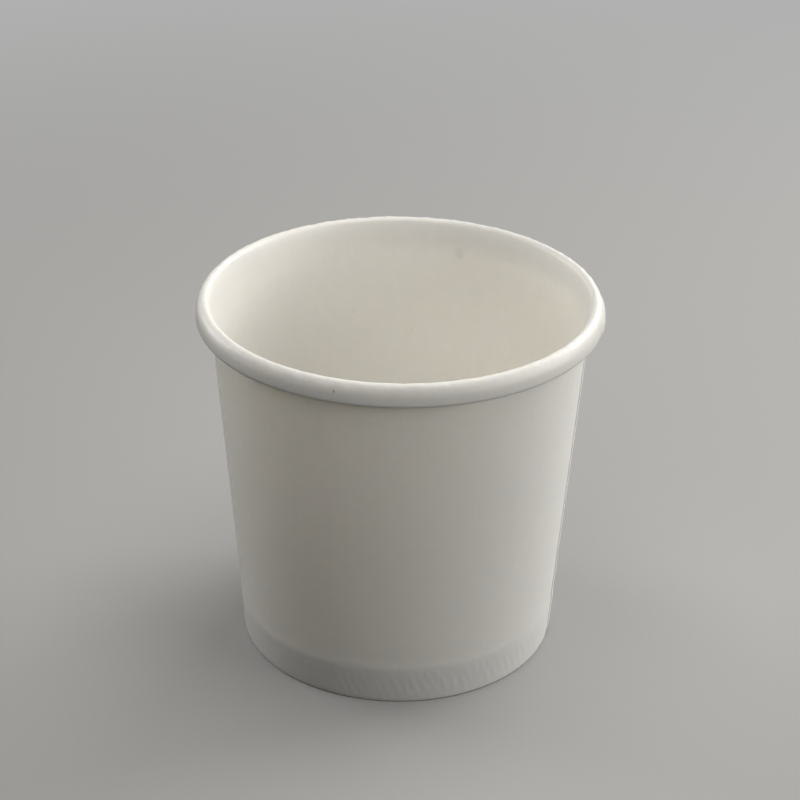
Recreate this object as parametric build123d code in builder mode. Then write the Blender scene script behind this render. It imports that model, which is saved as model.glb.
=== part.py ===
from build123d import *
from math import atan, cos, degrees, radians, sin, tan
import os

# Paper soup bowl, in millimetres: +Z up, origin at the centre of the base on the table.
# One rolled board makes the side wall, with a curled rim, a folded base hem and a lap seam.
# A second board, the floor, has its skirt clamped between the wall and the hem.

# Whole bowl
rim_diameter = 90.0
base_diameter = 71.8
height = 83.7

# Boards, and the outer layer of the lap, which sealing presses thinner
board = 0.40
lap_board = 0.25
floor_board = 0.35
seal_clearance = 0.05

# Rolled rim, and the flare of the wall into it
curl_height = 5.0
curl_overhang = 3.2
flare_radius = 10.0
flare_angle = 15.0
lip_bend_radius = 0.45
tuck_length = 0.8
tuck_gap = 0.12

# Sealed base band, where the wall stands a little proud over the floor's skirt
band_height = 8.7
band_proud = 0.10
band_step = 3.0

# Base hem
hem_gap = 0.75
fold_radius = 0.06

# Floor
floor_lift = 0.4
floor_bend_radius = 0.5
skirt_lift = 0.4

# Lap seam: the outer raw edge's angle from +X, the lap's width and the run over the inner edge
seam_angle = -12.0
lap_width = 9.0
ramp_width = 1.2

# Angles
quarter_turn = 90.0
full_turn = 360.0

# Worked out from the sizes above
rim_radius = rim_diameter / 2
wall_foot_radius = base_diameter / 2 - band_proud
neck_height = height - curl_height
slope = atan((rim_radius - curl_overhang - wall_foot_radius) / neck_height)
slope_angle = degrees(slope)
pocket = floor_board + 2 * seal_clearance
floor_height = band_height + floor_lift
hem_height = floor_height - floor_board - floor_bend_radius - hem_gap
lip_radius = lip_bend_radius + board + lap_board
flare_slope = radians(slope_angle + flare_angle)
flare_height = height - lip_radius * (1 - sin(flare_slope)) - flare_radius * (sin(flare_slope) - sin(slope))
under_radius = (curl_overhang - tuck_gap / cos(slope)) / (1 + 1 / cos(slope) + tan(slope))
middle_radius = wall_foot_radius + tan(slope) * height / 2
lap_angle = degrees(lap_width / middle_radius)
ramp_angle = degrees(ramp_width / middle_radius)


def wall_radius(z, depth):
    """Radius of the wall at height z, on the face that lies depth outside its inner face."""
    return wall_foot_radius + z * tan(slope) - (board - depth) / cos(slope)


lip_centre = wall_radius(flare_height, 0) + flare_radius * (cos(slope) - cos(flare_slope))
lip_centre += lip_radius * cos(flare_slope)


def seam_plane(angle):
    """Upright plane through the bowl's axis, turned by angle from +X."""
    return Plane.XZ.rotated((0, 0, angle))


def draw_board_face(depth, layers):
    """One face of the rolled board, depth under its inner face, from the hem's edge to the tucked edge.

    Layers is 1 for the plain wall and 2 where the seam laps: there the fold is lifted and the rim
    swells by the outer layer, so that the base stays flat on the table.
    """
    lap = (layers - 1) * lap_board
    fold = fold_radius + depth
    fold_z = board + lap + fold_radius
    band_x = wall_radius(fold_z, 0) + band_proud - fold_radius / cos(slope)
    hem_x = band_x - (pocket - 2 * fold_radius) / cos(slope)
    hem_top = (wall_radius(hem_height, -pocket - depth) + band_proud, hem_height)
    hem_foot = (hem_x - fold * cos(slope), fold_z + fold * sin(slope))
    hem = Line(hem_top, hem_foot)
    inner_fold = JernArc(hem @ 1, hem % 1, fold, quarter_turn + slope_angle)
    foot = Line(inner_fold @ 1, (band_x, fold_z - fold))
    outer_fold = JernArc(foot @ 1, foot % 1, fold, quarter_turn - slope_angle)

    band_top = (wall_radius(band_height, depth) + band_proud, band_height)
    step_height = band_height + band_step
    band = Line(outer_fold @ 1, band_top)
    step = Line(band @ 1, (wall_radius(step_height, depth), step_height))

    flare_start = (wall_radius(flare_height, 0) + depth * cos(slope), flare_height - depth * sin(slope))
    wall = Line(step @ 1, flare_start)
    flare = JernArc(wall @ 1, wall % 1, flare_radius - depth, -flare_angle)
    inner_lip = JernArc(flare @ 1, flare % 1, lip_radius - depth, slope_angle + flare_angle - quarter_turn)

    crown_radius = rim_radius + lap - lip_centre
    outer_lip = JernArc(inner_lip @ 1, inner_lip % 1, crown_radius - depth, -quarter_turn)
    side = Line(outer_lip @ 1, (rim_radius + lap - depth, neck_height + under_radius))
    under = JernArc(side @ 1, side % 1, under_radius - depth, -quarter_turn)
    tuck_turn = JernArc(under @ 1, under % 1, under_radius - depth, -quarter_turn - slope_angle)
    tuck = PolarLine(tuck_turn @ 1, tuck_length, angle=quarter_turn - slope_angle)
    return hem @ 0, tuck @ 1


def draw_board_outline(near, far, layers):
    """Closed outline of the board between two of its faces."""
    near_hem, near_tuck = draw_board_face(near, layers)
    far_hem, far_tuck = draw_board_face(far, layers)
    Line(near_hem, far_hem)
    Line(near_tuck, far_tuck)


def draw_floor_face(depth):
    """One face of the floor, depth under its upper face, from the axis to the skirt's edge."""
    bend_radius = floor_bend_radius + floor_board
    bend_z = floor_height - bend_radius
    bend_x = wall_radius(bend_z, -seal_clearance) + band_proud - bend_radius / cos(slope)
    skirt_foot = board + lap_board + skirt_lift
    floor = Line((0, floor_height - depth), (bend_x, floor_height - depth))
    bend = JernArc(floor @ 1, floor % 1, bend_radius - depth, -quarter_turn - slope_angle)
    skirt_edge = (wall_radius(skirt_foot, -seal_clearance - depth) + band_proud, skirt_foot)
    skirt = Line(bend @ 1, skirt_edge)
    return floor @ 0, skirt @ 1


lap_start = seam_angle
lap_end = seam_angle + lap_angle
plain_start = lap_end + ramp_angle
plain_end = lap_start - ramp_angle

# Side wall: the plain turn, the rise onto the lap, the lap of two layers and the fall off its inner edge
with BuildPart() as side_wall:
    with BuildSketch(seam_plane(plain_start)):
        with BuildLine():
            draw_board_outline(0, board, 1)
        make_face()
    revolve(axis=Axis.Z, revolution_arc=full_turn + plain_end - plain_start)

    with BuildSketch(seam_plane(plain_end)):
        with BuildLine():
            draw_board_outline(0, board, 1)
        make_face()
    with BuildSketch(seam_plane(lap_start)):
        with BuildLine():
            draw_board_outline(0, board, 2)
        make_face()
    loft(ruled=True)

    with BuildSketch(seam_plane(lap_start)):
        with BuildLine():
            draw_board_outline(0, board + lap_board, 2)
        make_face()
    revolve(axis=Axis.Z, revolution_arc=lap_angle)

    with BuildSketch(seam_plane(lap_end)):
        with BuildLine():
            draw_board_outline(board, board + lap_board, 2)
        make_face()
    with BuildSketch(seam_plane(plain_start)):
        with BuildLine():
            draw_board_outline(0, board, 1)
        make_face()
    loft(ruled=True)

# Floor: a flat disc with its edge turned down as a skirt
with BuildPart() as bottom_disc:
    with BuildSketch(Plane.XZ):
        with BuildLine():
            upper_middle, outer_edge = draw_floor_face(0)
            lower_middle, inner_edge = draw_floor_face(floor_board)
            Line(upper_middle, lower_middle)
            Line(outer_edge, inner_edge)
        make_face()
    revolve(axis=Axis.Z)

os.makedirs("parts", exist_ok=True)
side_wall.part.label = "side_wall"
bottom_disc.part.label = "bottom_disc"
export_step(side_wall.part, "parts/side_wall.step")
export_step(bottom_disc.part, "parts/bottom_disc.step")
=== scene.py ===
import math

import bpy
from mathutils import Matrix, Vector


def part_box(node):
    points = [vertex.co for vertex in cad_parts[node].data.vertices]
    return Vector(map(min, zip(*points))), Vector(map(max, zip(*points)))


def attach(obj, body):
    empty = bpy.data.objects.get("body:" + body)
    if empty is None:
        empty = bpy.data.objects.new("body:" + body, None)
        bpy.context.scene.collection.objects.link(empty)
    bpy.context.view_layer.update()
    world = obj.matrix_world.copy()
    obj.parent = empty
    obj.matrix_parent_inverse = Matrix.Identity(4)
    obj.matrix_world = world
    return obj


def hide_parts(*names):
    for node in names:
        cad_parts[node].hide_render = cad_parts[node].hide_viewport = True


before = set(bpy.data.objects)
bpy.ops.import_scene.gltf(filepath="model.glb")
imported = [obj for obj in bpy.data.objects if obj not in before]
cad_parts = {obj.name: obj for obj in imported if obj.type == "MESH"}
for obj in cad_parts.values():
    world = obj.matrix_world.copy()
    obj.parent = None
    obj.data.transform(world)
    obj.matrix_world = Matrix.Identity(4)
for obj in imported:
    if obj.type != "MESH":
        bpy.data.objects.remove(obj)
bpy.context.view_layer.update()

# The bowl is two boards: a side wall rolled from one sheet, whose ends lap in a glued seam,
# and a bottom disc whose turned-down skirt is held in the folded base of the wall.
# Lengths are in metres and angles in radians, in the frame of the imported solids.

QUARTER = math.pi / 2
TURN = 2 * math.pi

# Whole bowl
wall_low, wall_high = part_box("side_wall")
height = wall_high.z
rim_radius = -wall_low.x
base_radius = 0.0359

# Boards, and the outer layer of the lap, which sealing presses thinner
board = 0.0004
lap_board = 0.00025
floor_board = 0.00035
seal_clearance = 0.00005
glue_line = 0.00002

# Rolled rim, and the flare of the wall into it as bends of a radius and a turn
curl_height = 0.0050
curl_overhang = 0.0032
flare_bends = ((0.060, math.radians(3.5)), (0.014, math.radians(4.5)), (0.007, math.radians(7)))
lip_radius = 0.0011
crown_radius, crown_turn = 0.00115, math.radians(40)
shoulder_radius, shoulder_turn = 0.0022, math.radians(25)
side_radius = 0.0050
under_radius = 0.00095
tuck_length = 0.0008
tuck_gap = 0.00022

# Sealed base band and its hem
band_height = 0.0087
band_proud = 0.00010
band_step = 0.0030
hem_height = 0.0075
fold_radius = 0.00006

# Floor
floor_height = 0.0091
floor_bend = 0.0005
skirt_foot = 0.00105

# Lap seam, from the outer raw edge
seam_angle = math.radians(-12)
lap_width = 0.009
ramp_width = 0.0012
seam_edge = 0.00012
press_width = 0.0060

# Knurl pressed into the base band and the hem, with patches pressed harder than others
ridge_count = 107
ridge_slant = math.radians(26)
ridge_waver = 9.0
ridge_sharpness = 2.0
band_ridge_depth = 0.000045
hem_ridge_share = 2.5
knurl_run_in_share = 0.2
patch_limits = (0.4, 0.65)
patch_strengths = (0.1, 1.6)

# Ripple that curling leaves on the rim
rim_ripple_depth = 0.0005

# Random patterns: scale in a metre, detail and roughness; most of a pattern lies between low and high
ridge_shift_noise = (240.0, 2.0, 0.6)
ridge_patch_noise = (300.0, 3.0, 0.7)
rim_ripple_noise = (420.0, 2.0, 0.5)
cloud_noise = (380.0, 4.0, 0.6)
grain_noise = (3200.0, 3.0, 0.65)
streak_noise = (700.0, 2.0, 0.5)
noise_low, noise_middle, noise_high = 0.3, 0.5, 0.7
wall_seed, disc_seed = 3.0, 5.0

# Steps of the meshes round the bowl, and how their faces are joined and shaded
wall_steps, disc_steps = 800, 360
weld_distance = 1e-6
crisp_angle = math.radians(40)

# Worked out from the sizes above
wall_foot_radius = base_radius - band_proud
neck_height = height - curl_height
slope = math.atan((rim_radius - curl_overhang - wall_foot_radius) / neck_height)
lean = math.cos(slope)
pocket = floor_board + 2 * seal_clearance
middle_radius = wall_foot_radius + math.tan(slope) * height / 2
lap_angle = lap_width / middle_radius
ramp_angle = ramp_width / middle_radius
press_angle = press_width / middle_radius
flare_slope = slope
flare_rise = 0.0
for radius, turn in flare_bends:
    flare_rise += radius * (math.sin(flare_slope + turn) - math.sin(flare_slope))
    flare_slope += turn
flare_height = height - lip_radius * (1 - math.sin(flare_slope)) - flare_rise
step_turn = 2 * math.atan(band_proud / band_step)
step_bend = band_step / (2 * math.sin(step_turn))


# Sections of the boards

class BoardPen:
    """Walks along one face of a board, in radius and height, and marks points with their heading."""

    def __init__(self, start):
        self.place = Vector(start)
        self.heading = 0.0
        self.marks = []

    def mark(self, stretch, share):
        """Notes where the pen is, and how far along the named stretch that is."""
        self.marks.append((self.place.copy(), self.heading, stretch, share))

    def line(self, stretch, end, rows):
        """A straight stretch to a given end."""
        start = self.place.copy()
        way = Vector(end) - start
        self.heading = math.atan2(way.y, way.x)
        for row in range(rows):
            self.place = start + way * (row / rows)
            self.mark(stretch, row / rows)
        self.place = start + way

    def bend(self, stretch, radius, turn, rows):
        """A round stretch that starts along the last heading; a positive turn goes to the left."""
        side = math.copysign(radius, turn)
        start_heading = self.heading
        centre = self.place + side * Vector((-math.sin(start_heading), math.cos(start_heading)))
        for row in range(rows + 1):
            self.heading = start_heading + turn * row / rows
            self.place = centre - side * Vector((-math.sin(self.heading), math.cos(self.heading)))
            if row < rows:
                self.mark(stretch, row / rows)


def wall_radius(z, depth):
    """Radius of the wall at height z, on the face that lies depth outside its coated face."""
    return wall_foot_radius + z * math.tan(slope) - (board - depth) / lean


def walk_base(pen, depth, lap_lift, rows):
    """The hem, the pressed fold, the band, and the soft step from the band onto the wall."""
    fold = fold_radius + depth
    fold_z = board + lap_lift + fold_radius
    band_x = wall_radius(fold_z, 0) + band_proud - fold_radius / lean
    hem_x = band_x - (pocket - 2 * fold_radius) / lean
    pen.line("hem", (hem_x - fold * lean, fold_z + fold * math.sin(slope)), rows["hem"])
    pen.bend("fold", fold, QUARTER + slope, rows["fold"])
    pen.line("foot", (band_x, fold_z - fold), 1)
    pen.bend("fold", fold, QUARTER - slope, rows["fold"])
    pen.line("band", (wall_radius(band_height, depth) + band_proud, band_height), rows["band"])
    pen.bend("step", step_bend, step_turn, rows["step"])
    pen.bend("step", step_bend, -step_turn, rows["step"])


def walk_rim(pen, depth, lap_lift, rows):
    """The flare, and the roll from its tight lip over a slowly turning side to the tucked edge."""
    for radius, turn in flare_bends:
        pen.bend("flare", radius - depth, -turn, rows["flare"])
    pen.bend("lip", lip_radius - depth, flare_slope - QUARTER, rows["lip"])
    pen.bend("crown", crown_radius + lap_lift - depth, -crown_turn, rows["crown"])
    pen.bend("shoulder", shoulder_radius + lap_lift - depth, -shoulder_turn, rows["shoulder"])

    # The side turns until a straight run from it meets the lower corner without a kink
    side_bend = side_radius + lap_lift
    outwards = Vector((-math.sin(pen.heading), math.cos(pen.heading)))
    side_centre = pen.place - outwards * (side_bend - depth)
    under_centre = Vector((rim_radius + lap_lift - under_radius, neck_height + under_radius))
    way = under_centre - side_centre
    side_lean = math.acos((side_bend - under_radius) / way.length) + math.atan2(way.y, way.x)
    side_end = under_centre + (under_radius - depth) * Vector((math.cos(side_lean), math.sin(side_lean)))
    pen.bend("side", side_bend - depth, side_lean - QUARTER - pen.heading, rows["side"])
    pen.line("side", side_end, 1)

    tuck_x = wall_radius(under_centre.y, board + tuck_gap + under_radius) + lap_lift
    pen.bend("under", under_radius - depth, -QUARTER - side_lean, rows["under"])
    pen.line("under", (tuck_x, neck_height + depth), 1)
    pen.bend("under", under_radius - depth, -QUARTER - slope, rows["under"])
    pen.line("tuck", pen.place + Vector((math.sin(slope), math.cos(slope))) * tuck_length, 1)


def board_face(depth, layers, rows):
    """Marks along one face of the rolled board, from the hem's edge to the edge tucked in the rim.

    Layers is 1 for the plain wall and 2 in the lap, where the fold is lifted and the rim swells.
    """
    lap_lift = (layers - 1) * (lap_board + glue_line)
    flare_start = (wall_radius(flare_height, 0) + depth * lean, flare_height - depth * math.sin(slope))
    pen = BoardPen((wall_radius(hem_height, -pocket - depth) + band_proud, hem_height))
    walk_base(pen, depth, lap_lift, rows)
    pen.line("wall", flare_start, rows["wall"])
    walk_rim(pen, depth, lap_lift, rows)
    pen.mark("tuck", 1.0)
    return pen.marks


def floor_face(depth, rows):
    """Marks along one face of the floor, from the bowl's axis to the skirt's edge."""
    bend_radius = floor_bend + floor_board
    bend_z = floor_height - bend_radius
    bend_x = wall_radius(bend_z, -seal_clearance) + band_proud - bend_radius / lean
    pen = BoardPen((0, floor_height - depth))
    pen.line("floor", (bend_x, floor_height - depth), rows["floor"])
    pen.bend("floor_bend", bend_radius - depth, -QUARTER - slope, rows["bend"])
    skirt_edge = (wall_radius(skirt_foot, -seal_clearance - depth) + band_proud, skirt_foot)
    pen.line("skirt", skirt_edge, rows["skirt"])
    pen.mark("skirt", 1.0)
    return pen.marks


def fade(share, run_in):
    """1 along a stretch, easing to 0 over the run-in at each of its ends."""
    near_end = min(share, 1 - share, run_in) / run_in
    return near_end * near_end * (3 - 2 * near_end)


def knurl_share(stretch, share, coated):
    """How deep the knurl is at a mark: on the outside of the band, and deeper on the hem within it."""
    if coated or stretch not in ("band", "hem"):
        return 0.0
    return fade(share, knurl_run_in_share) * (hem_ridge_share if stretch == "hem" else 1.0)


def ripple_share(stretch, share, coated):
    """How much of the curling ripple a mark takes: all on the crown, none on the wall and the side."""
    if not coated:
        return 0.0
    return {"lip": share, "crown": 1.0, "shoulder": 1 - share}.get(stretch, 0.0)


def section_object(name, coated_marks, plain_marks, coated_lapped=None, plain_lapped=None):
    """The outline of a board's section as a mesh of edges, with what each point has to know.

    The outline is closed, unless it starts and ends on the bowl's axis.
    """
    marks = coated_marks + plain_marks[::-1]
    lapped = (coated_lapped or coated_marks) + (plain_lapped or plain_marks)[::-1]
    coated = [True] * len(coated_marks) + [False] * len(plain_marks)
    count = len(marks)
    mesh = bpy.data.meshes.new(name)
    places = [(place.x, 0.0, place.y) for place, heading, stretch, share in marks]
    edges = [(i, i + 1) for i in range(count - 1)]
    if places[0][0] > 0:
        edges.append((count - 1, 0))
    mesh.from_pydata(places, edges, [])
    vectors = {
        "section": places,
        "across": [(math.sin(mark[1]), 0.0, -math.cos(mark[1])) for mark in marks],
        "lap_shift": [(b[0].x - a[0].x, 0.0, b[0].y - a[0].y) for a, b in zip(marks, lapped)],
    }
    shares = {
        "coated": [float(side) for side in coated],
        "knurl": [knurl_share(mark[2], mark[3], side) for mark, side in zip(marks, coated)],
        "ripple": [ripple_share(mark[2], mark[3], side) for mark, side in zip(marks, coated)],
    }
    for label, values in vectors.items():
        layer = mesh.attributes.new(label, "FLOAT_VECTOR", "POINT")
        layer.data.foreach_set("vector", [number for value in values for number in value])
    for label, values in shares.items():
        mesh.attributes.new(label, "FLOAT", "POINT").data.foreach_set("value", values)
    piece = bpy.data.objects.new(name, mesh)
    bpy.context.scene.collection.objects.link(piece)
    return piece


# Node trees

def node(tree, kind, inputs=None, **settings):
    """Adds a node, with its settings, and fills its inputs with sockets or plain values."""
    made = tree.nodes.new(kind)
    for setting, value in settings.items():
        setattr(made, setting, value)
    for key, value in (inputs or {}).items():
        if isinstance(value, bpy.types.NodeSocket):
            tree.links.new(value, made.inputs[key])
        else:
            made.inputs[key].default_value = value
    return made


def calc(tree, operation, *values):
    """The result of one sum on plain numbers."""
    return node(tree, "ShaderNodeMath", dict(enumerate(values)), operation=operation).outputs[0]


def vector_calc(tree, operation, *values):
    """The result of one sum on vectors."""
    return node(tree, "ShaderNodeVectorMath", dict(enumerate(values)), operation=operation).outputs[0]


def scaled(tree, vector, factor):
    """A vector times a number."""
    made = node(tree, "ShaderNodeVectorMath", {"Vector": vector, "Scale": factor}, operation="SCALE")
    return made.outputs[0]


def length(tree, vector):
    """The length of a vector."""
    return node(tree, "ShaderNodeVectorMath", {0: vector}, operation="LENGTH").outputs["Value"]


def ramp(tree, value, start, end, low=0.0, high=1.0, kind="LINEAR"):
    """Low before start, high after end, and a slope between."""
    limits = {"Value": value, "From Min": start, "From Max": end, "To Min": low, "To Max": high}
    return node(tree, "ShaderNodeMapRange", limits, interpolation_type=kind, clamp=True).outputs[0]


def noise(tree, place, pattern):
    """A random pattern, about 0.5 on average."""
    scale, detail, roughness = pattern
    inputs = {"Vector": place, "Scale": scale, "Detail": detail, "Roughness": roughness}
    return node(tree, "ShaderNodeTexNoise", inputs).outputs[0]


def seeded_noise(tree, place, pattern, seed):
    """A random pattern, about 0.5 on average, that another seed makes anew."""
    scale, detail, roughness = pattern
    inputs = {"Vector": place, "W": seed, "Scale": scale, "Detail": detail, "Roughness": roughness}
    return node(tree, "ShaderNodeTexNoise", inputs, noise_dimensions="4D").outputs[0]


def named(tree, label, data_type):
    """A value that the section's points carry along the sweep."""
    made = node(tree, "GeometryNodeInputNamedAttribute", {"Name": label}, data_type=data_type)
    return made.outputs["Attribute"]


ROLL_INPUTS = {
    "Steps": ("NodeSocketInt", wall_steps),
    "Start Angle": ("NodeSocketFloat", 0.0),
    "Lap Angle": ("NodeSocketFloat", 0.0),
    "Ramp Angle": ("NodeSocketFloat", 0.0),
    "Layer Lift": ("NodeSocketFloat", 0.0),
    "Lap Squeeze": ("NodeSocketFloat", 0.0),
    "Press Angle": ("NodeSocketFloat", press_angle),
    "Press Depth": ("NodeSocketFloat", 0.0),
    "Close Ends": ("NodeSocketBool", False),
    "Ridge Count": ("NodeSocketFloat", 0.0),
    "Ridge Twist": ("NodeSocketFloat", 0.0),
    "Ridge Depth": ("NodeSocketFloat", 0.0),
    "Ripple Depth": ("NodeSocketFloat", 0.0),
    "Seed": ("NodeSocketFloat", 0.0),
    "Material": ("NodeSocketMaterial", None),
}


def swept_sheet(tree, given):
    """The section swept along a path of steps, each knowing how far round the sheet it lies."""
    line = node(tree, "GeometryNodeCurvePrimitiveLine")
    count = calc(tree, "ADD", given["Steps"], 1)
    path = node(tree, "GeometryNodeResampleCurve", {"Curve": line.outputs[0], "Count": count})
    share = calc(tree, "DIVIDE", tree.nodes.new("GeometryNodeInputIndex").outputs[0], given["Steps"])
    whole = calc(tree, "ADD", given["Lap Angle"], TURN)
    along = calc(tree, "MULTIPLY", share, whole)
    stored = {"Geometry": path.outputs[0], "Name": "along", "Value": along}
    path = node(tree, "GeometryNodeStoreNamedAttribute", stored, data_type="FLOAT", domain="POINT")
    section = node(tree, "GeometryNodeMeshToCurve", {"Mesh": given["Geometry"]})
    ends = given["Close Ends"]
    sweep = {"Curve": path.outputs[0], "Profile Curve": section.outputs[0], "Fill Caps": ends}
    return node(tree, "GeometryNodeCurveToMesh", sweep).outputs[0]


def lapped_section(tree, given, along, across):
    """Each point's place in the section, in radius and height, with the lap's layers set on each other."""
    # The outer layer lies a board and the glue line out, and the lap swells the rim and lifts the fold
    fall_end = calc(tree, "ADD", given["Lap Angle"], given["Ramp Angle"])
    outer = ramp(tree, along, given["Lap Angle"], fall_end, 1.0, 0.0)
    inner = ramp(tree, along, calc(tree, "SUBTRACT", TURN, given["Ramp Angle"]), TURN)
    lap_shift = named(tree, "lap_shift", "FLOAT_VECTOR")
    lapped = scaled(tree, lap_shift, calc(tree, "MAXIMUM", outer, inner))
    lift = scaled(tree, across, calc(tree, "MULTIPLY", outer, given["Layer Lift"]))
    moves = vector_calc(tree, "ADD", lapped, lift)
    flat = vector_calc(tree, "ADD", named(tree, "section", "FLOAT_VECTOR"), moves)

    # Sealing presses the outer layer thinner, most of all towards its raw edge
    pressed = ramp(tree, along, 0.0, given["Press Angle"], 1.0, 0.0, "SMOOTHSTEP")
    pressed = calc(tree, "MULTIPLY", pressed, given["Press Depth"])
    pressed = calc(tree, "MULTIPLY_ADD", outer, given["Lap Squeeze"], pressed)
    plain_side = calc(tree, "SUBTRACT", 1.0, named(tree, "coated", "FLOAT"))
    thinned = calc(tree, "MULTIPLY", pressed, plain_side)
    return vector_calc(tree, "SUBTRACT", flat, scaled(tree, across, thinned))


def turned(tree, flat, round_way):
    """A place in the section, turned about the bowl's axis to the way that its step faces."""
    axes = node(tree, "ShaderNodeSeparateXYZ", {0: flat}).outputs
    upright = node(tree, "ShaderNodeCombineXYZ", {2: axes["Z"]}).outputs[0]
    return vector_calc(tree, "ADD", scaled(tree, round_way, axes["X"]), upright)


def knurl_press(tree, given, angle, flat, place):
    """Ridges that run slantwise round the base, some pressed harder than others."""
    z = node(tree, "ShaderNodeSeparateXYZ", {0: flat}).outputs["Z"]
    twist = calc(tree, "MULTIPLY", z, given["Ridge Twist"])
    phase = calc(tree, "MULTIPLY", calc(tree, "ADD", angle, twist), given["Ridge Count"])
    shift = seeded_noise(tree, place, ridge_shift_noise, given["Seed"])
    phase = calc(tree, "MULTIPLY_ADD", shift, ridge_waver, phase)
    wave = calc(tree, "MULTIPLY_ADD", calc(tree, "COSINE", phase), 0.5, 0.5)
    wave = calc(tree, "POWER", wave, ridge_sharpness)
    patch = seeded_noise(tree, place, ridge_patch_noise, given["Seed"])
    strength = ramp(tree, patch, *patch_limits, *patch_strengths)
    press = calc(tree, "MULTIPLY", calc(tree, "MULTIPLY", wave, strength), given["Ridge Depth"])
    return calc(tree, "MULTIPLY", press, named(tree, "knurl", "FLOAT"))


def rim_ripple(tree, given, place):
    """The small unevenness of the curl along the rim."""
    waver = seeded_noise(tree, place, rim_ripple_noise, given["Seed"])
    waver = calc(tree, "SUBTRACT", waver, noise_middle)
    ripple = calc(tree, "MULTIPLY", waver, given["Ripple Depth"])
    return calc(tree, "MULTIPLY", ripple, named(tree, "ripple", "FLOAT"))


def roll_tree():
    """Nodes that sweep a board's section round the bowl, lap its ends, knurl its base and ripple its rim."""
    tree = bpy.data.node_groups.new("roll_board", "GeometryNodeTree")
    tree.interface.new_socket("Geometry", in_out="INPUT", socket_type="NodeSocketGeometry")
    tree.interface.new_socket("Geometry", in_out="OUTPUT", socket_type="NodeSocketGeometry")
    for label, (kind, value) in ROLL_INPUTS.items():
        socket = tree.interface.new_socket(label, in_out="INPUT", socket_type=kind)
        if value is not None:
            socket.default_value = value
    given = tree.nodes.new("NodeGroupInput").outputs

    sheet = swept_sheet(tree, given)
    along = named(tree, "along", "FLOAT")
    across = named(tree, "across", "FLOAT_VECTOR")
    flat = lapped_section(tree, given, along, across)
    angle = calc(tree, "ADD", along, given["Start Angle"])
    facing = {0: calc(tree, "COSINE", angle), 1: calc(tree, "SINE", angle)}
    round_way = node(tree, "ShaderNodeCombineXYZ", facing).outputs[0]
    place = turned(tree, flat, round_way)
    press = knurl_press(tree, given, angle, flat, place)
    relief = calc(tree, "ADD", press, rim_ripple(tree, given, place))
    moved = vector_calc(tree, "ADD", flat, scaled(tree, across, relief))
    rolled_place = {"Geometry": sheet, "Position": turned(tree, moved, round_way)}
    sheet = node(tree, "GeometryNodeSetPosition", rolled_place).outputs[0]
    welded = {"Geometry": sheet, "Distance": weld_distance}
    sheet = node(tree, "GeometryNodeMergeByDistance", welded).outputs[0]

    # Smooth faces, with the board's raw edges kept crisp
    sheet = node(tree, "GeometryNodeSetShadeSmooth", {"Geometry": sheet}, domain="FACE").outputs[0]
    edge_angle = tree.nodes.new("GeometryNodeInputMeshEdgeAngle").outputs["Unsigned Angle"]
    crisp = calc(tree, "GREATER_THAN", edge_angle, crisp_angle)
    crisp_edges = {"Geometry": sheet, "Selection": crisp, "Shade Smooth": False}
    sheet = node(tree, "GeometryNodeSetShadeSmooth", crisp_edges, domain="EDGE").outputs[0]
    sheet = node(tree, "GeometryNodeRealizeInstances", {"Geometry": sheet}).outputs[0]
    finish = {"Geometry": sheet, "Material": given["Material"]}
    sheet = node(tree, "GeometryNodeSetMaterial", finish).outputs[0]
    node(tree, "NodeGroupOutput", {0: sheet})
    return tree


def rolled(piece, tree, values):
    """Runs the tree on a section and keeps the result as the piece's own plain mesh."""
    modifier = piece.modifiers.new(tree.name, "NODES")
    modifier.node_group = tree
    for item in tree.interface.items_tree:
        if item.in_out == "INPUT" and item.name in values:
            modifier[item.identifier] = values[item.name]
    graph = bpy.context.evaluated_depsgraph_get()
    mesh = bpy.data.meshes.new_from_object(piece.evaluated_get(graph))
    piece.modifiers.remove(modifier)
    piece.data = mesh
    for label in ("section", "across", "lap_shift", "knurl", "ripple", "along"):
        mesh.attributes.remove(mesh.attributes[label])
    return piece


# Finishes: colours of the board's two faces, and how far its patterns change their tone

plain_colour = (0.83, 0.825, 0.805, 1.0)
coated_colour = (0.843, 0.829, 0.795, 1.0)
cloud_tones = (0.987, 1.008)
grain_tones = (0.985, 1.01)
streak_tones = (0.994, 1.005)
streak_stretch = (1.0, 1.0, 0.04)
fleck_scale = 120.0
fleck_limits = (0.01, 0.03)
fleck_tone = 1.08

# Gloss, tooth and light let through
plain_roughness, coated_roughness = 0.62, 0.37
grain_roughness = (-0.05, 0.05)
plain_tooth, coated_tooth = 0.25, 0.08
tooth_height = 0.00003
board_ior = 1.45
board_shine = 0.45
light_through = 1.0
light_reach = 0.00045
light_tint = (1.0, 0.95, 0.86)

# Marks: bearing from +X in degrees, height, depth outside the coated face, reach, tallness and darkness
rim_side = rim_radius - wall_radius(height, 0)
wall_marks = {
    "inside_smudge": (70.4, 0.0762, 0.0, 0.0018, 1.2, 0.10),
    "inside_tick": (106.1, 0.0609, 0.0, 0.0004, 1.6, 0.14),
    "inside_spot": (85.8, 0.0555, 0.0, 0.0006, 1.0, 0.06),
    "rim_tick": (-107.3, 0.0817, rim_side, 0.00030, 2.2, 0.6),
}


def on_wall(bearing, z, depth):
    """A place on the wall, or on its rolled rim, at a bearing from +X in degrees."""
    about_axis = Matrix.Rotation(math.radians(bearing), 3, "Z")
    return about_axis @ Vector((wall_radius(z, depth), 0.0, z))


def spotted(tree, place, centre, reach, tallness, darkness):
    """A soft dark spot round a centre, taller than it is wide by the given tallness: 1 away from it."""
    offset = vector_calc(tree, "SUBTRACT", place, centre)
    squashed = vector_calc(tree, "MULTIPLY", offset, (1.0, 1.0, 1.0 / tallness))
    return ramp(tree, length(tree, squashed), 0.0, reach, 1.0 - darkness, 1.0, "SMOOTHSTEP")


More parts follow.
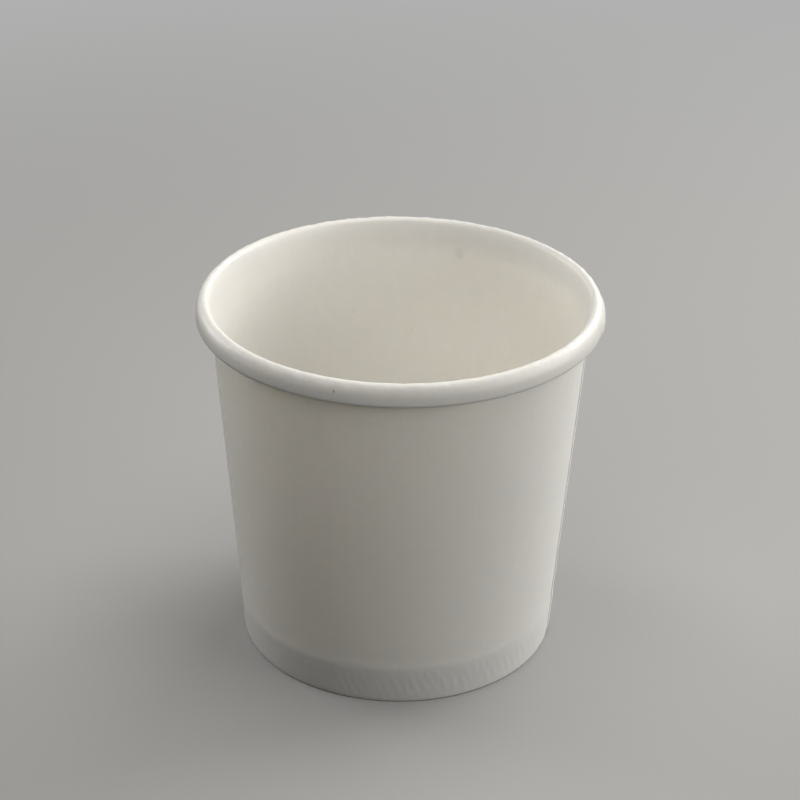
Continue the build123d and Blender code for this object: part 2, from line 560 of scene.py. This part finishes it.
def toned(tree, pattern, tones):
    """A random pattern brought to a range of tones."""
    return ramp(tree, pattern, noise_low, noise_high, *tones)


def board_tone(tree, place, grain, marks):
    """How much lighter or darker than its colour the board is at a place."""
    # Clouds a few millimetres across, as paper shows in thin light, and a fine fibre grain
    clouds = toned(tree, noise(tree, place, cloud_noise), cloud_tones)
    tone = calc(tree, "MULTIPLY", clouds, toned(tree, grain, grain_tones))

    # Faint streaks along the sheet, and a few pale fibre flecks
    streaked = vector_calc(tree, "MULTIPLY", place, streak_stretch)
    streaks = noise(tree, streaked, streak_noise)
    tone = calc(tree, "MULTIPLY", tone, toned(tree, streaks, streak_tones))
    cells = {"Vector": place, "Scale": fleck_scale, "Randomness": 1.0}
    from_fleck = node(tree, "ShaderNodeTexVoronoi", cells).outputs["Distance"]
    tone = calc(tree, "MULTIPLY", tone, ramp(tree, from_fleck, *fleck_limits, fleck_tone, 1.0))

    for bearing, z, depth, reach, tallness, darkness in marks:
        spot = spotted(tree, place, on_wall(bearing, z, depth), reach, tallness, darkness)
        tone = calc(tree, "MULTIPLY", tone, spot)
    return tone


def board_finish(name, marks=()):
    """White paper board: matt and faintly cloudy outside, smoother and warmer on its coated face."""
    material = bpy.data.materials.new(name)
    material.use_nodes = True
    tree = material.node_tree
    tree.nodes.clear()
    place = tree.nodes.new("ShaderNodeTexCoord").outputs["Object"]
    coated = node(tree, "ShaderNodeAttribute", attribute_name="coated").outputs["Fac"]
    grain = noise(tree, place, grain_noise)

    # The Mix node's colour inputs and output have shared names, so they are taken by number
    faces = {0: coated, 6: plain_colour, 7: coated_colour}
    face_colour = node(tree, "ShaderNodeMix", faces, data_type="RGBA").outputs[2]
    colour = scaled(tree, face_colour, board_tone(tree, place, grain, marks))

    rough = ramp(tree, coated, 0.0, 1.0, plain_roughness, coated_roughness)
    rough = calc(tree, "ADD", rough, toned(tree, grain, grain_roughness))
    tooth = ramp(tree, coated, 0.0, 1.0, plain_tooth, coated_tooth)
    relief = {"Strength": tooth, "Distance": tooth_height, "Height": grain}
    bump = node(tree, "ShaderNodeBump", relief).outputs[0]

    shader = node(tree, "ShaderNodeBsdfPrincipled", {
        "Base Color": colour,
        "Roughness": rough,
        "Normal": bump,
        "IOR": board_ior,
        "Specular IOR Level": board_shine,
        "Subsurface Weight": light_through,
        "Subsurface Radius": light_tint,
        "Subsurface Scale": light_reach,
    })
    node(tree, "ShaderNodeOutputMaterial", {"Surface": shader.outputs[0]})
    return material


# The two boards, with the rows of faces along each stretch of their sections

coated_rows = {
    "hem": 1, "fold": 2, "band": 1, "step": 1, "wall": 4, "flare": 2,
    "lip": 7, "crown": 5, "shoulder": 3, "side": 4, "under": 6,
}
plain_rows = {
    "hem": 7, "fold": 6, "band": 9, "step": 3, "wall": 4, "flare": 1,
    "lip": 3, "crown": 2, "shoulder": 1, "side": 1, "under": 3,
}
disc_rows = {"floor": 10, "bend": 6, "skirt": 3}
roll = roll_tree()

wall_finish = board_finish("white_wall_board", wall_marks.values())
side_wall = section_object(
    "rolled_side_wall",
    board_face(0.0, 1, coated_rows),
    board_face(board, 1, plain_rows),
    board_face(0.0, 2, coated_rows),
    board_face(board, 2, plain_rows),
)
rolled(side_wall, roll, {
    "Steps": wall_steps,
    "Start Angle": seam_angle,
    "Lap Angle": lap_angle,
    "Ramp Angle": ramp_angle,
    "Layer Lift": board + glue_line,
    "Lap Squeeze": board - lap_board,
    "Press Angle": press_angle,
    "Press Depth": lap_board - seam_edge,
    "Close Ends": True,
    "Ridge Count": float(ridge_count),
    "Ridge Twist": math.tan(ridge_slant) / base_radius,
    "Ridge Depth": band_ridge_depth,
    "Ripple Depth": rim_ripple_depth,
    "Seed": wall_seed,
    "Material": wall_finish,
})
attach(side_wall, "root")
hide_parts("side_wall")

disc_finish = board_finish("white_floor_board")
bottom_disc = section_object(
    "turned_bottom_disc",
    floor_face(0.0, disc_rows),
    floor_face(floor_board, disc_rows),
)
rolled(bottom_disc, roll, {"Steps": disc_steps, "Seed": disc_seed, "Material": disc_finish})
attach(bottom_disc, "root")
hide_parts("bottom_disc")


# Studio: a pale floor that gives little light back, and fades into the backdrop far from the bowl

floor_reach = 6.0
floor_paleness = 0.43
floor_bounce = 0.08
fade_start, fade_end = 0.15, 0.55
backdrop_level = 0.44
fill_level = 0.009

# Soft lights: bearing from +X and rise in degrees, distance, size, and power in watts
far, wide = 0.8, 0.4
near, narrow = 0.4, 0.3
light_colour = (1.0, 0.982, 0.945)
lights = {
    "top_light": (0, 90, near, narrow, 0.80),
    "left_front_light": (240, 45, near, narrow, 0.37),
    "right_front_light": (-30, 14, far, wide, 1.60),
    "right_light": (0, 3, far, wide, 2.25),
    "right_back_light": (30, 28, far, wide, 2.88),
    "back_right_light": (60, 28, far, wide, 1.75),
    "left_back_light": (150, 14, far, wide, 2.25),
}


def soft_light(name, bearing, rise, distance, size, power):
    """A square soft light, seen from the bowl at a bearing from +X and a rise above the floor."""
    lamp = bpy.data.lights.new(name, "AREA")
    lamp.size = size
    lamp.energy = power
    lamp.color = light_colour
    away = Matrix.Rotation(math.radians(bearing), 3, "Z") @ Matrix.Rotation(-math.radians(rise), 3, "Y")
    way = away @ Vector((1.0, 0.0, 0.0))
    holder = bpy.data.objects.new(name, lamp)
    holder.location = Vector((0.0, 0.0, height / 2)) + way * distance
    holder.rotation_euler = way.to_track_quat("Z", "Y").to_euler()
    holder.visible_camera = False
    bpy.context.scene.collection.objects.link(holder)


def floor_finish():
    """A plain matt floor, paler to the eye than the light that it gives back."""
    material = bpy.data.materials.new("studio_floor")
    material.use_nodes = True
    tree = material.node_tree
    tree.nodes.clear()
    place = tree.nodes.new("ShaderNodeTexCoord").outputs["Object"]
    seen = tree.nodes.new("ShaderNodeLightPath").outputs["Is Camera Ray"]
    level = ramp(tree, seen, 0.0, 1.0, floor_bounce, floor_paleness)
    colour = node(tree, "ShaderNodeCombineColor", {0: level, 1: level, 2: level}).outputs[0]
    lit = node(tree, "ShaderNodeBsdfDiffuse", {"Color": colour}).outputs[0]
    glowing = node(tree, "ShaderNodeEmission", {"Strength": backdrop_level}).outputs[0]
    fading = ramp(tree, length(tree, place), fade_start, fade_end, kind="SMOOTHSTEP")
    fading = calc(tree, "MULTIPLY", fading, seen)
    surface = node(tree, "ShaderNodeMixShader", {0: fading, 1: lit, 2: glowing}).outputs[0]
    node(tree, "ShaderNodeOutputMaterial", {"Surface": surface})
    return material


for name, settings in lights.items():
    soft_light(name, *settings)

floor_mesh = bpy.data.meshes.new("studio_floor")
corners = [(x * floor_reach, y * floor_reach, 0) for x, y in ((-1, -1), (1, -1), (1, 1), (-1, 1))]
floor_mesh.from_pydata(corners, [], [(0, 1, 2, 3)])
floor_mesh.materials.append(floor_finish())
studio_floor = bpy.data.objects.new("studio_floor", floor_mesh)
bpy.context.scene.collection.objects.link(studio_floor)

world = bpy.data.worlds.new("studio")
world.use_nodes = True
seen = world.node_tree.nodes.new("ShaderNodeLightPath").outputs["Is Camera Ray"]
glow = ramp(world.node_tree, seen, 0.0, 1.0, fill_level, backdrop_level)
backdrop = world.node_tree.nodes["Background"]
backdrop.inputs["Color"].default_value = (1.0, 1.0, 1.0, 1.0)
world.node_tree.links.new(glow, backdrop.inputs["Strength"])
bpy.context.scene.world = world
bpy.context.scene.view_settings.view_transform = "Standard"

# Camera, as the photograph was taken
camera_distance = 0.43525
camera_height = 0.28678
camera_pitch = 0.48522
camera_yaw = 0.00046
camera_roll = 0.01211
focal_pixels = 2180.6
image_pixels = 800
sensor_width = 36.0
lens = bpy.data.cameras.new("camera")
lens.sensor_width = sensor_width
lens.lens = focal_pixels / image_pixels * lens.sensor_width
camera = bpy.data.objects.new("camera", lens)
camera.matrix_world = (
    Matrix.Translation((0.0, -camera_distance, camera_height))
    @ Matrix.Rotation(-camera_yaw, 4, "Z")
    @ Matrix.Rotation(QUARTER - camera_pitch, 4, "X")
    @ Matrix.Rotation(camera_roll, 4, "Z")
)
bpy.context.scene.collection.objects.link(camera)
bpy.context.scene.camera = camera
